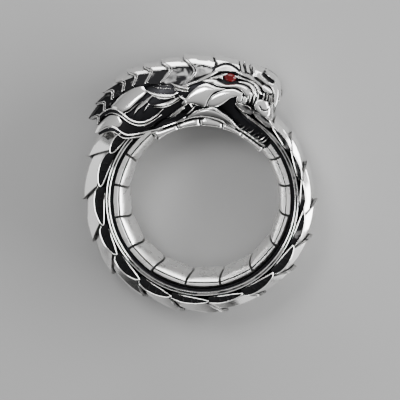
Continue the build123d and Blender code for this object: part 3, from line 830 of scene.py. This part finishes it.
# The neck's own top, which runs out from under the last crest plate to the first scale
neck_front, neck_rear = ((131.0, 17.3), (128.0, 14.0)), ((148.4, 16.15), (143.6, 13.4))
neck_depth, neck_half = 2.6, 3.35
bm = shingle(neck_front, neck_rear, neck_depth, neck_half, scale_roof(neck_depth), 0.4)
into_metres(bm, "neck_top", polished)


# Forehead and nose. A forehead plate and three short plates, one behind another, stand up
# along the bridge of the nose, with dark gaps between them.

# front edge, rear edge, half-width of the roof at its foot
brow_plates = {
    "forehead": (((75.4, 17.95), (73.6, 17.1)), ((85.5, 18.1), (83.6, 17.6), (84.6, 16.6)), 3.4),
    "nose_plate_1": (((73.9, 17.95), (71.7, 17.05)), ((75.3, 18.3), (73.3, 17.2)), 2.5),
    "nose_plate_2": (((71.2, 17.95), (69.5, 17.25)), ((72.7, 18.1), (71, 17.3)), 2.4),
    "nose_plate_3": (((67.6, 18.05), (66.7, 17.5)), ((69.9, 18.25), (68.4, 17.45)), 2.3),
}
brow_roof = ((0, 0), (0.04, 0.35), (0.10, 0.72), (1, 1))
brow_line = (
    (85.4, 16.9), (84, 17.12), (82.6, 17.36), (80.6, 17.6), (78.4, 17.62), (76.4, 17.46), (74.2, 17.2))


def engrave(bm, rows, reach, depth):
    """Presses a line of (degrees, radius) rows into a plate, and leaves the oxide in it."""
    oxide_shade = bm.verts.layers.float["oxide_and_painted_shade"]
    line = smooth_line([spot(*row) for row in rows], 24)
    for vert in bm.verts:
        away = min((Vector((vert.co.x, vert.co.y, 0)) - point).length for point in line) / reach
        if away < 1:
            vert.co.z = max(0, vert.co.z - depth * min(1, 2.5 * (1 - away)))
            vert[oxide_shade] = groove_oxide * min(1, 3 * (1 - away))


for name, (front, rear, half) in brow_plates.items():
    depth = max(0.7, rear[0][1] - rear[-1][1])
    bm = shingle(front, rear, depth, half, brow_roof, 0.4, along=40 if name == "forehead" else 10)
    if name == "forehead":
        engrave(bm, brow_line, 0.17, 0.15)
    into_metres(bm, name, polished)


# Snout. One broad plate over the nose, with a slit nostril on each side, and below it the
# lip and the fang blocks that close the upper jaw.

snout_lines = (
    ("lip", -0.02, 0.26, 2.2,
     ((62.9, 16.45), (61.9, 16.2), (60.1, 16.05), (58.3, 16.1), (57.3, 16.35)),
     ((62.9, 16.65), (60.9, 16.9), (59, 16.85), (57.9, 16.75), (57.2, 16.5))),
    ("fang", -0.04, 0.16, 3.6,
     ((61.7, 13.95), (59.9, 13.55), (57.6, 13.38), (55.5, 13.32), (53.4, 13.35), (51.8, 13.6)),
     ((62, 14.45), (60.5, 14.85), (58.5, 15.05), (56.3, 15.05), (54.2, 14.7), (52.2, 14.15))),
    ("molar", -0.15, 0.14, 3,
     ((71.8, 13.75), (70.8, 13.5), (69.2, 13.45), (68.7, 13.6)),
     ((71.6, 14.15), (70.8, 14.4), (69.4, 14.45), (68.8, 14.3))),
    ("molar_front", -0.15, 0.14, 3,
     ((68.4, 13.6), (67.6, 13.48), (66.6, 13.55), (66, 13.75)),
     ((68.4, 14.35), (67.8, 14.42), (66.8, 14.38), (66.2, 14.1))),
)

snout_low = (
    (67.4, 17.25), (64, 17.1), (61.6, 16.98), (59.2, 16.95), (56.8, 16.55), (54.8, 15.9), (53.4, 15.3))
snout_high = (
    (67.2, 17.9), (64.5, 18.02), (61.5, 18), (58.3, 17.7), (55.6, 17.1), (53.5, 16.15), (52.5, 15.35))
snout_foot, snout_half, snout_slope = 17.0, 3.15, 0.6
nostril = ((64.4, 17.84), (62.8, 17.7), (61.2, 17.6), (59.6, 17.58))
fang_line = ((59.0, 14.2), (57.6, 14.0), (56.2, 14.0), (54.9, 14.2), (54.6, 14.5))


def snout_side(x, y):
    """The snout's slanting side, which falls away from its foot to the bridge of the nose."""
    return snout_half - snout_slope * (hypot(x, y) - snout_foot)


bm, oxide_shade = oxide_shade_mesh()
panel(bm, *line_pair(snout_low, snout_high, 48), snout_side, 0.10, 6, 0.8, across=20, ends=24)
lay_plates(bm, snout_lines, head_side, 40, 0.8, 24)
engrave(bm, nostril, 0.26, 0.35)
engrave(bm, fang_line, 0.12, 0.12)
into_metres(bm, "snout_plates", polished, edge=0)

# The bridge is a shell over the snout, from its top line down to its foot line
top_line = (
    (68.2, 17.95), (66, 18.1), (64, 18.15), (60.5, 18.05), (57.5, 17.7), (55, 17.1), (53, 16.3),
    (52.3, 15.5))
foot_line = (
    (68.2, 17.1), (66, 17.1), (64, 17.1), (60.5, 16.95), (57.5, 16.7), (55.2, 16.2), (53.9, 15.6),
    (53.4, 15.1))
# How far down each row lies, and how much of the head's width it has
bridge_fall = ((0, 0), (0.30, 0.12), (0.36, 0.20), (1, 1))
bridge_width = ((0, 0), (0.30, 0.68), (0.36, 0.74), (1, 1))
bm, oxide_shade = oxide_shade_mesh()
count = 56
low, high = line_pair(foot_line, top_line, count)
inner_count = shell_grid(bm, count, 26)
for vert in bm.verts:
    step = round((vert.co.x + 1) / 2 * count)
    v = (vert.co.y + 1) / 2
    wide = head_side(-0.25)(low[step].x, low[step].y)
    place = high[step].lerp(low[step], between(bridge_fall, v))
    if vert.index < inner_count:
        wide -= 0.3
        place *= 0.96
    vert.co = Vector((place.x, place.y, wide * between(bridge_width, v)))
engrave(bm, nostril, 0.30, 0.60)
into_metres(bm, "nose_bridge", polished, edge=0)


# Ribs, horns and whiskers. Raised double lines sweep back from the jaw and the cheek over
# the neck, and short horns lie behind the cheek.

# name, lift, crown, and the line as (degrees, radius, width)
swept_lines = (
    ("nape_rib", -0.02, 0.24,
     ((118.2, 16.4, 0.1), (116.6, 15.6, 0.3), (113.6, 14.8, 0.36), (109.9, 14.3, 0.36),
      (105.8, 14.05, 0.34), (102.5, 14.2, 0.2))),
    ("nape_rib_low", -0.1, 0.2,
     ((117.2, 15.9, 0.1), (115.2, 14.95, 0.22), (112.5, 14.25, 0.26), (109, 13.85, 0.24),
      (104.5, 13.75, 0.12))),
    ("horn_high", 0.05, 0.34,
     ((105.6, 15.75, 0.05), (103.8, 15.3, 0.34), (101.4, 14.9, 0.46), (98.8, 14.62, 0.42),
      (96.4, 14.45, 0.2))),
    ("horn_high_low", -0.05, 0.24,
     ((104.4, 15, 0.05), (102.2, 14.62, 0.26), (99.6, 14.3, 0.3), (97, 14.1, 0.15))),
    ("horn_middle", 0.05, 0.32,
     ((117.6, 13.8, 0.05), (114.2, 13.45, 0.34), (110.4, 13.25, 0.42), (106.6, 13.3, 0.42),
      (103, 13.5, 0.3), (100.4, 13.75, 0.12))),
    ("horn_middle_low", -0.04, 0.22,
     ((117.2, 13.45, 0.05), (113, 13, 0.24), (108.5, 12.9, 0.28), (103.8, 13.1, 0.18), (101, 13.4, 0.08))),
    ("horn_low", 0.04, 0.28,
     ((112.4, 11.5, 0.08), (109.4, 11.6, 0.28), (105.4, 11.9, 0.34), (101.4, 12.25, 0.34),
      (98.4, 12.6, 0.15))),
    ("horn_low_2", -0.02, 0.2,
     ((111.6, 11.25, 0.05), (108, 11.4, 0.2), (104, 11.75, 0.24), (100.5, 12.1, 0.15))),
    ("cheek_spur", 0, 0.24,
     ((102.6, 14, 0.06), (101.4, 13.6, 0.3), (99.8, 13.2, 0.34), (98.6, 12.7, 0.14))),
    ("whisker_high", 0, 0.22,
     ((112.5, 12.75, 0.08), (116.8, 12.42, 0.22), (121.6, 12.3, 0.24), (126.2, 12.5, 0.26),
      (129.4, 13, 0.28), (131.4, 13.8, 0.28), (132.4, 15, 0.28), (133.8, 16.1, 0.26), (137.2, 16.72, 0.22),
      (141.2, 16.95, 0.14))),
    ("whisker_high_2", -0.06, 0.2,
     ((115, 12.1, 0.06), (121, 11.95, 0.2), (126.8, 12.1, 0.24), (130.6, 12.7, 0.26), (132.8, 13.7, 0.26),
      (134, 15, 0.24), (136.2, 16, 0.2), (139.5, 16.45, 0.1))),
    ("snout_fold_1", -0.04, 0.2,
     ((57.1, 16.5, 0.1), (56, 15.8, 0.26), (54.9, 15.2, 0.26), (53.9, 14.7, 0.1))),
    ("snout_fold_2", -0.04, 0.2,
     ((56, 16.8, 0.1), (54.9, 16.1, 0.26), (53.8, 15.5, 0.26), (52.8, 15.1, 0.1))),
    ("snout_fold_3", -0.04, 0.2,
     ((54.9, 16.9, 0.1), (53.9, 16.6, 0.22), (53, 16.2, 0.22), (52.4, 15.8, 0.1))),
    ("chin_fold", -0.1, 0.2, ((53.9, 14.8, 0.1), (52.6, 14.5, 0.3), (51.2, 14.1, 0.3), (49.9, 13.6, 0.12))),
    ("cheek_bar_1", -0.06, 0.18,
     ((88.6, 11.85, 0.08), (92, 11.55, 0.34), (96, 11.15, 0.36), (99.6, 10.85, 0.1))),
    ("cheek_bar_2", -0.06, 0.18,
     ((93.4, 12.25, 0.06), (95.6, 11.85, 0.2), (98, 11.45, 0.2), (101, 11.1, 0.06))),
    ("spike_1", -0.06, 0.2, ((97.2, 12.6, 0.28), (96, 12.15, 0.2), (95.2, 11.8, 0.03))),
    ("neck_band", 0, 0.2,
     ((114.4, 14.9, 0.06), (116.8, 14.72, 0.36), (120.4, 14.5, 0.42), (124.4, 14.36, 0.34),
      (127.2, 14.1, 0.18), (129.8, 13.7, 0.04))),
    ("neck_branch", -0.06, 0.16,
     ((121, 14.72, 0.06), (124.6, 14.8, 0.16), (128.6, 14.68, 0.2), (132.8, 14.95, 0.05))),
    ("neck_spur", -0.1, 0.16, ((118.4, 14.1, 0.18), (120.8, 13.84, 0.16), (124, 13.45, 0.03))),
    ("whisker_low", 0, 0.22,
     ((101, 10.9, 0.06), (108.5, 10.5, 0.2), (116.5, 10.55, 0.22), (122.3, 10.75, 0.24),
      (127.5, 11.15, 0.26), (133.3, 11.75, 0.28), (137.4, 12.4, 0.28), (139.1, 12.95, 0.28),
      (139.7, 13.6, 0.28), (139.8, 14.2, 0.28), (141, 14.9, 0.26), (143.9, 15.42, 0.22),
      (147.3, 15.8, 0.12))),
    ("whisker_low_2", -0.06, 0.2,
     ((119, 10.35, 0.06), (126.5, 10.7, 0.22), (133.6, 11.3, 0.26), (138.4, 12.05, 0.26),
      (141.2, 12.75, 0.24), (141.7, 13.4, 0.24), (141.7, 14, 0.22), (142.8, 14.55, 0.2), (144.6, 15, 0.16),
      (147, 15.4, 0.08))),
    ("nape_line_1", -0.4, 0.1,
     ((103.6, 14.75, 0.05), (107, 14.95, 0.14), (110.5, 15.3, 0.14), (113.6, 15.8, 0.05))),
    ("nape_line_2", -0.4, 0.1, ((105.5, 15.25, 0.05), (108.4, 15.45, 0.16), (111.4, 15.85, 0.05))),
)

bm = bmesh.new()
for name, lift, crown, line in swept_lines:
    panel(bm, *ribbon(line, 36), head_side(lift), crown, 2, 0.6, across=6, ends=14)
into_metres(bm, "whiskers_and_horns", bright, edge=0)

# A dark ribbon under each whisker's end: a painted shadow that outlines it
whisker_shadow_ribbons = (
    ((130.2, 12.6, 0.5), (132, 13.7, 0.72), (133.4, 15, 0.74), (135.2, 16.05, 0.74), (138.4, 16.55, 0.6),
     (141.2, 16.8, 0.3)),
    ((137.6, 12.2, 0.5), (140.2, 13, 0.72), (140.8, 13.8, 0.78), (141.2, 14.5, 0.76), (143.6, 15.2, 0.62),
     (147.6, 15.62, 0.3)))
bm = bmesh.new()
for line in whisker_shadow_ribbons:
    panel(bm, *ribbon(line, 30), head_side(-0.13), 0.08, 3, 0.4, across=6)
into_metres(bm, "whisker_shadow_ribbons", blackened_and_shade, edge=0)


# Upper teeth. A row of curved teeth hangs from the lip folds, in bright silver over the dark
# of the mouth, and they get longer towards the snout.

# from the root, as (degrees, radius, width), to the point, as (degrees, radius)
upper_teeth = (
    ((66.6, 14.9, 0.3), (66, 14.3, 0.26), (65.6, 13.85)),
    ((65.4, 15, 0.3), (64.8, 14.3, 0.26), (64.6, 13.75)),
    ((64, 15.3, 0.32), (63, 14.5, 0.28), (62.6, 13.8)),
    ((62.6, 15.5, 0.32), (61.6, 14.8, 0.28), (61.4, 14)),
    ((60.6, 15.9, 0.34), (59.6, 15.4, 0.28), (59, 14.8)),
    ((59, 16, 0.32), (58, 15.5, 0.28), (57.4, 14.95)),
    ((57.4, 16.1, 0.34), (56.4, 15.4, 0.3), (55.8, 14.7)),
    ((55.8, 16, 0.34), (54.8, 15.2, 0.28), (54.2, 14.3)),
    ((54.3, 15.5, 0.3), (53.3, 14.6, 0.28), (52.4, 13.6)),
)
tooth_point = 0.03


def tooth_row(name, teeth, top, depth):
    """Sets a row of teeth on a surface, each drawn to a point."""
    bm = bmesh.new()
    for *root, point in teeth:
        line = [*root, (*point, tooth_point)]
        panel(bm, *ribbon(line, 12), top, 0.22, 2, depth, across=6, taper=0.7, ends=30)
    into_metres(bm, name, bright, edge=0)


tooth_row("upper_teeth", upper_teeth, head_side(-0.20), 0.9)


# Lower jaw. A slim curved jaw carries the hoop's first belly plate under the head, with a
# bright rim, and its teeth stand beside the tail that the dragon bites.

jaw_foot = 9.65
jaw_lines = (
    (125.6, 11), (116, 11.4), (105, 11.5), (96, 11.5), (88, 11.4), (84, 11.75), (82, 11.9), (78.4, 11.62),
    (74.7, 11.35), (70.4, 10.98), (66.5, 10.5), (62.4, 10.3), (58, 10.3), (53, 10.3), (46.5, 10.35),
    (42.6, 10.4), (41.6, 10.1), (41.6, 9.7), *((deg, jaw_foot) for deg in range(45, 125, 5)),
    (125.6, jaw_foot))
dark_slab("jaw_casting", [spot(*row) for row in jaw_lines], head_side(-0.3), 0.5, ["lower_jaw"])

jaw_joints = (39.7, 59.1, 74.7, 91.7, 108.5, 127.0)
jaw_gap = 0.5
wall_section = (*belly_section[:4], (9.68, 2.6), (9.82, 2.85), (10.1, 2.95), (10.1, 0))
for number, (start, end) in enumerate(zip(jaw_joints, jaw_joints[1:]), 1):
    bm = belly_plate(wall_section, start + jaw_gap, end - jaw_gap)
    into_metres(bm, f"jaw_wall_{number}", satin)

jaw_half = 3.7


def jaw_side(lift):
    """The head's side, kept wide down to the edge of the finger hole."""
    return lambda x, y: max(head_side(lift)(x, y), jaw_half + lift)


# lift, crown, fullness, lower and upper lines
jaw_plates = (
    (-0.02, 0.22, 3,
     ((126.6, 9.52), (120, 9.52), (114, 9.52), (109, 9.54)),
     ((126.2, 10.7), (120, 10.3), (114, 10.15), (109.6, 10.1))),
    (-0.02, 0.22, 3,
     ((108, 9.54), (103, 9.52), (97, 9.52), (92.2, 9.54)),
     ((108.6, 10.1), (103, 10.25), (97, 10.4), (92.8, 10.4))),
    (-0.02, 0.22, 3,
     ((91.2, 9.54), (86, 9.52), (80, 9.52), (75.2, 9.54)),
     ((91.4, 10.3), (87.5, 10.5), (80, 10.4), (75.6, 10.1))),
    (-0.02, 0.2, 3,
     ((74.2, 9.54), (69, 9.52), (64, 9.52), (59.6, 9.54)),
     ((74.8, 10.2), (69, 10.12), (64, 10), (60, 9.96))),
    (-0.02, 0.2, 3,
     ((58.6, 9.54), (53, 9.52), (47, 9.52), (40.8, 9.54)),
     ((59, 9.96), (53, 9.96), (47, 10.04), (41.2, 10.22))),
    (0.02, 0.14, 5,
     ((112, 10.3), (106, 10.42), (99, 10.58), (92, 10.68), (85, 10.62), (78, 10.4), (71, 10.15),
      (65.5, 10)),
     ((112, 10.36), (106, 10.6), (99, 10.85), (92, 11.45), (86, 11.75), (78.6, 11.5), (72, 10.95),
      (65.8, 10.3))),
)
jaw_rim = (
    (88.8, 11.75, 0.1), (84, 11.95, 0.3), (81.5, 11.88, 0.32), (78.4, 11.6, 0.3), (74.7, 11.3, 0.3),
    (70.4, 10.92, 0.3), (66.5, 10.45, 0.3), (62.4, 10.2, 0.3), (58, 10.2, 0.28), (53, 10.2, 0.28),
    (46.5, 10.3, 0.28), (41.4, 10.6, 0.2))
bm = bmesh.new()
lay_plates(bm, jaw_plates, jaw_side, 24, 0.9, 10)
panel(bm, *ribbon(jaw_rim, 50), head_side(0.04), 0.16, 2, 0.6, across=6)
into_metres(bm, "jaw_plates", polished, edge=0)

lower_teeth = (
    ((65, 10.5, 0.16), (63.6, 10.9, 0.13), (62.6, 11.1)),
    ((62.4, 10.3, 0.19), (60.6, 10.9, 0.16), (60.4, 11.45)),
    ((59.4, 10.3, 0.16), (58.6, 10.8, 0.13), (57.4, 11.3)),
    ((56.4, 10.3, 0.21), (54.8, 11, 0.18), (54.6, 11.75)),
    ((53, 10.3, 0.16), (52, 10.8, 0.13), (50.6, 11.3)),
    ((50.6, 10.35, 0.19), (49, 10.9, 0.16), (48.8, 11.55)),
    ((47.6, 10.4, 0.21), (46.2, 11.1, 0.18), (46, 11.9)),
    ((45.2, 10.45, 0.18), (44, 11, 0.2), (44, 11.7)),
)
tooth_row("lower_teeth", lower_teeth, head_side(-0.02), 0.8)


# Eyes. Small faceted stones with a table, of deep red glassy garnet, each set in a dark
# socket under the brow.

garnet, tree, shader = new_material("red_garnet")
shader.inputs["Roughness"].default_value = 0.08
shader.inputs["Specular IOR Level"].default_value = 0.35
depth = tree.nodes.new("ShaderNodeMix")
depth.data_type = "RGBA"
depth.inputs["A"].default_value = (0.03, 0.0003, 0.0006, 1)
depth.inputs["B"].default_value = (0.13, 0.0012, 0.0025, 1)
tree.links.new(noise(tree, object_place(tree), 1800), depth.inputs["Factor"])
tree.links.new(depth.outputs["Result"], shader.inputs["Base Color"])

eye_seat = 2.8
# From the point behind the stone to its table: how much each ring grows and how far it rises
stone_start = 0.36
stone_cuts = ((2.75, 0.42), (1.0, 0.1), (0.82, 0.18), (0.72, 0.12))


def set_in_head(bm, wide, high, occluded_darkening, turned, place):
    """Stretches a round form to the eye's shape, turns it, and moves it to the head."""
    bmesh.ops.scale(bm, verts=bm.verts, vec=(wide, high, occluded_darkening))
    bmesh.ops.rotate(bm, verts=bm.verts, cent=(0, 0, 0), matrix=Matrix.Rotation(radians(turned), 3, "Z"))
    bmesh.ops.translate(bm, verts=bm.verts, vec=place)


for side, node in ((1, "eye_left"), (-1, "eye_right")):
    low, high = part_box(node)
    centre = Vector([(a + b) / 2 / millimetre for a, b in zip(low, high)])
    bm = bmesh.new()
    bmesh.ops.create_circle(bm, cap_ends=True, segments=12, radius=stone_start)
    face = bm.faces[:]
    for grow, rise in stone_cuts:
        made = bmesh.ops.extrude_face_region(bm, geom=face)
        face = [part for part in made["geom"] if isinstance(part, bmesh.types.BMFace)]
        bmesh.ops.translate(bm, verts=verts_in(made), vec=(0, 0, rise))
        bmesh.ops.scale(bm, verts=verts_in(made), vec=(grow, grow, 1))
    set_in_head(bm, 0.80, 0.58, side, -6, (centre.x - 0.02, centre.y, side * eye_seat))
    into_metres(bm, f"{node}_stone", garnet, [node], both=False, edge=0, angle=5)

# The dark cup that holds each stone
bm, oxide_shade = oxide_shade_mesh()
bmesh.ops.create_circle(bm, cap_ends=True, segments=24, radius=1.16)
rising = verts_in(bmesh.ops.extrude_face_region(bm, geom=bm.faces[:], use_keep_orig=True))
bmesh.ops.translate(bm, verts=rising, vec=(0, 0, 0.5))
set_in_head(bm, 1.0, 0.64, 1.0, -12.7, (centre.x, centre.y, eye_seat))
for vert in bm.verts:
    vert[oxide_shade] = 1.0
into_metres(bm, "eye_cups", blackened_and_shade, edge=0)
